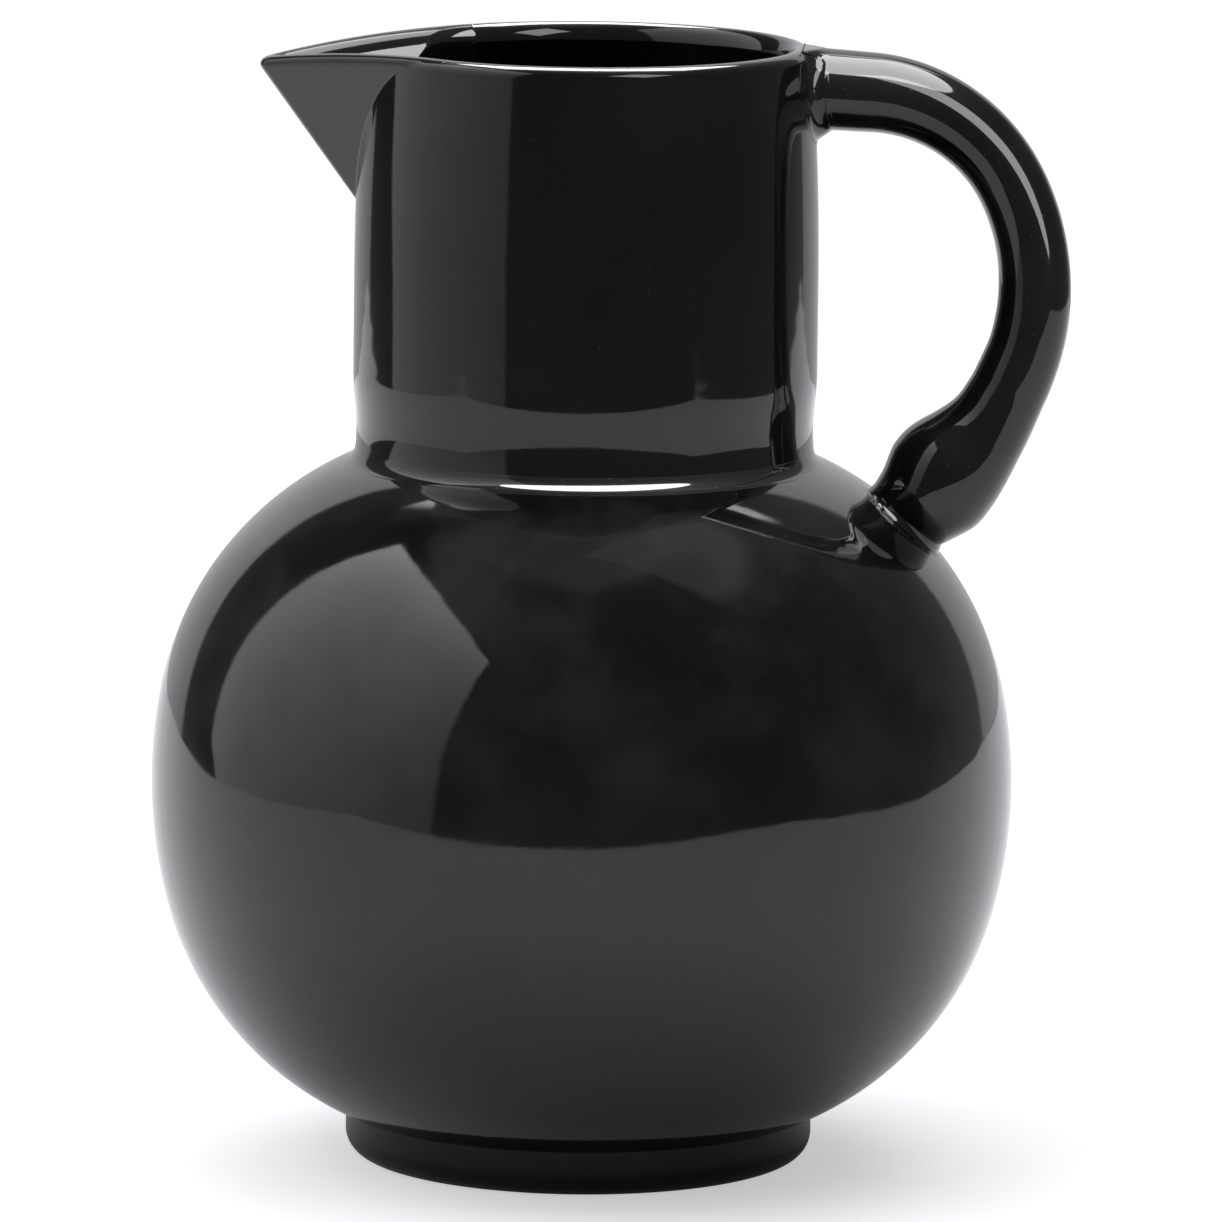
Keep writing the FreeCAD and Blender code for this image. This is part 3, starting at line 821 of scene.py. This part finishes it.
# %% The wall that the camera sees
seen = node(room.node_tree, "ShaderNodeLightPath").outputs["Is Camera Ray"]
studio = node(room.node_tree, "ShaderNodeBackground")
studio.inputs["Color"].default_value = (0.99, 0.985, 1.02, 1)
room.node_tree.links.new(light, studio.inputs["Strength"])
plain = node(room.node_tree, "ShaderNodeBackground")
plain.inputs["Color"].default_value = (1, 1, 1, 1)
plain.inputs["Strength"].default_value = 1.02
either = node(room.node_tree, "ShaderNodeMixShader")
room.node_tree.links.new(seen, either.inputs[0])
room.node_tree.links.new(studio.outputs[0], either.inputs[1])
room.node_tree.links.new(plain.outputs[0], either.inputs[2])
output = node(room.node_tree, "ShaderNodeOutputWorld")
room.node_tree.links.new(either.outputs[0], output.inputs["Surface"])

# %% [markdown]
# ## The table
# The table is a plain pale board. Its edge shows in the glaze as the line between the grey
# lower part of the globe and the dark room above it. A wide lamp overhead lights the board and
# is kept out of the reflections. The board glows a little, less so in the shade of the jug and
# more where the camera looks at it.

# %% Table and overhead lamp
def flat_board(name, low, high, height):
    """Level rectangle between two corners, in metres."""
    corners = [(low[0], low[1], height), (high[0], low[1], height),
               (high[0], high[1], height), (low[0], high[1], height)]
    mesh = bpy.data.meshes.new(name)
    mesh.from_pydata(corners, [], [(0, 1, 2, 3)])
    board = bpy.data.objects.new(name, mesh)
    bpy.context.scene.collection.objects.link(board)
    return board


table = flat_board("pale_table", (-1.04, -0.64), (1.04, 1.04), 0.0)
board_finish, tree, shader, place = new_finish("pale_board")
paint = remap(tree, noise(tree, place, 6, 3), 0.3, 0.7, 0, 1)
tree.links.new(tint(tree, paint, (0.855, 0.855, 0.885, 1), (0.875, 0.875, 0.905, 1)),
               shader.inputs["Base Color"])
shader.inputs["Roughness"].default_value = 0.9
shader.inputs["Specular IOR Level"].default_value = 0.0
shader.inputs["Emission Color"].default_value = (1, 1, 1, 1)
looked_at = node(tree, "ShaderNodeLightPath").outputs["Is Camera Ray"]
from_jug = node(tree, "ShaderNodeVectorMath", operation="LENGTH")
tree.links.new(place, from_jug.inputs[0])
mirrored_glow = remap(tree, from_jug.outputs["Value"], 0.06, 0.22, 0.05, 0.27)
glow = node(tree, "ShaderNodeMath", operation="MAXIMUM")
tree.links.new(mirrored_glow, glow.inputs[0])
tree.links.new(remap(tree, looked_at, 0, 1, 0, 0.50), glow.inputs[1])
tree.links.new(glow.outputs[0], shader.inputs["Emission Strength"])
table.data.materials.append(board_finish)


def add_lamp(name, place, aim_at, size, power, shape="RECTANGLE"):
    """Flat lamp of a size in metres that faces a point, hidden from the camera."""
    lamp = bpy.data.lights.new(name, "AREA")
    lamp.shape = shape
    lamp.size, lamp.size_y = size
    lamp.energy = power
    holder = bpy.data.objects.new(name, lamp)
    away = (np.array(place) - np.array(aim_at)).astype(float)
    away /= np.linalg.norm(away)
    side = np.cross([0, 1, 0], away)
    side /= np.linalg.norm(side)
    turn = Matrix.Identity(4)
    for row in range(3):
        turn[row][0], turn[row][1], turn[row][2] = side[row], np.cross(away, side)[row], away[row]
        turn[row][3] = place[row]
    holder.matrix_world = turn
    holder.visible_camera = False
    bpy.context.scene.collection.objects.link(holder)
    return holder


overhead = add_lamp("overhead_lamp", (0, 0.2, 2.4), (0, 0.2, 0), (3.2, 3.2), power=39)
overhead.visible_glossy = False

# %% [markdown]
# ## Lamps for the edges
# In the studio picture the rim, the joins and the handle carry bright lines from lamps above
# and to the right, while the broad globe is kept free of them. A lamp can be linked to a
# collection of pieces, so that only these pieces see it. The lamps of the rim, the spout's lip
# and the mouth also fade out after one mirroring, or the globe would show a second,
# upside-down rim.

# %% Lamps that only some pieces see
def see_only(lamp, name, pieces):
    """Links a lamp to a new collection of pieces; its light does not bounce on."""
    seers = bpy.data.collections.new(name)
    for piece in pieces:
        seers.objects.link(piece)
    lamp.light_linking.receiver_collection = seers
    lamp.data.cycles.max_bounces = 0


def seen_once(lamp):
    """The lamp fades out for rays that met two surfaces or more; it counts itself as one."""
    lamp.data.use_nodes = True
    tree = lamp.data.node_tree
    depth = node(tree, "ShaderNodeLightPath").outputs["Ray Depth"]
    strength = tree.nodes["Emission"].inputs["Strength"]
    tree.links.new(remap(tree, depth, 2.4, 2.6, 1, 0), strength)


handle_middle = np.array([0.085, 0.0, 0.2])
strip_low, strip_high = np.array([0.84, -0.58, 0.16]), np.array([0.1116, -0.633, 0.766])
above_handle = np.array([0.16, -0.1, 0.95])
strip_lamp = add_lamp("handle_strip_lamp", tuple(handle_middle + (strip_low + strip_high) / 2),
                      tuple(handle_middle), (1.25, 0.42), power=8, shape="ELLIPSE")
top_lamp = add_lamp("handle_top_lamp", tuple(handle_middle + above_handle),
                    tuple(handle_middle), (0.75, 1.3), power=24, shape="ELLIPSE")
above_rim, rim_aim, rim_lamp_size = (0.04, 0.32, 1.2), (0.0, 0.02, 0.2), (1.0, 0.6)
rim_lamp = add_lamp("rim_lamp", above_rim, rim_aim, rim_lamp_size, power=38)
lip_lamp = add_lamp("spout_lip_lamp", above_rim, rim_aim, rim_lamp_size, power=9)
channel_lamp = add_lamp("channel_lamp", (0.80, -0.12, 0.74), (-0.05, 0.02, 0.23), (0.45, 0.35),
                        power=5)
join_lamp = add_lamp("join_lamp", (0.14, -0.5, 1.1), (0.0, -0.05, 0.15), (1.6, 0.8),
                     power=78, shape="ELLIPSE")
mouth_lamp = add_lamp("mouth_lamp", (0.50, -0.77, 0.84), (0, 0, 0.22), (0.45, 0.4), power=2.6)
see_only(strip_lamp, "strip_seers", (handle, top_join))
see_only(top_lamp, "top_seers", (handle, top_join, seat_join))
see_only(rim_lamp, "rim_seers", (neck,))
see_only(join_lamp, "join_seers", (neck_join,))
see_only(lip_lamp, "lip_seers", (spout,))
see_only(channel_lamp, "channel_seers", (spout,))
see_only(mouth_lamp, "mouth_seers", (neck,))
seen_once(rim_lamp)
seen_once(mouth_lamp)
seen_once(lip_lamp)

# %% [markdown]
# ## The camera
# The camera stands far off with a long lens, a little above the jug and almost square to its
# plane of symmetry, and it is rolled by half a degree. Its axes are worked out from the
# azimuth and the height above the horizon.

# %% Place the camera
camera_distance, camera_lens, sensor_width = 2.3906, 339.43, 36.0
camera_azimuth, camera_height, camera_roll = (math.radians(v) for v in (3.0, 9.05, 0.569))
back = np.array([math.sin(camera_azimuth) * math.cos(camera_height),
                 -math.cos(camera_azimuth) * math.cos(camera_height), math.sin(camera_height)])
right = np.array([math.cos(camera_azimuth), math.sin(camera_azimuth), 0])
upright = np.cross(back, right)
aim_right, aim_height = 0.0058, 0.11438
target = aim_right * right + np.array([0, 0, aim_height])
rolled_right = right * math.cos(camera_roll) + upright * math.sin(camera_roll)
rolled_up = upright * math.cos(camera_roll) - right * math.sin(camera_roll)
lens = bpy.data.cameras.new("long_lens")
lens.lens, lens.sensor_width, lens.clip_end = camera_lens, sensor_width, 50
camera = bpy.data.objects.new("camera", lens)
columns = np.stack([rolled_right, rolled_up, back, target + back * camera_distance], axis=1)
camera.matrix_world = Matrix([*columns.tolist(), [0, 0, 0, 1]])
bpy.context.scene.collection.objects.link(camera)
bpy.context.scene.camera = camera
bpy.context.scene.view_settings.view_transform = "Standard"
print("camera at", (target + back * camera_distance).round(3))
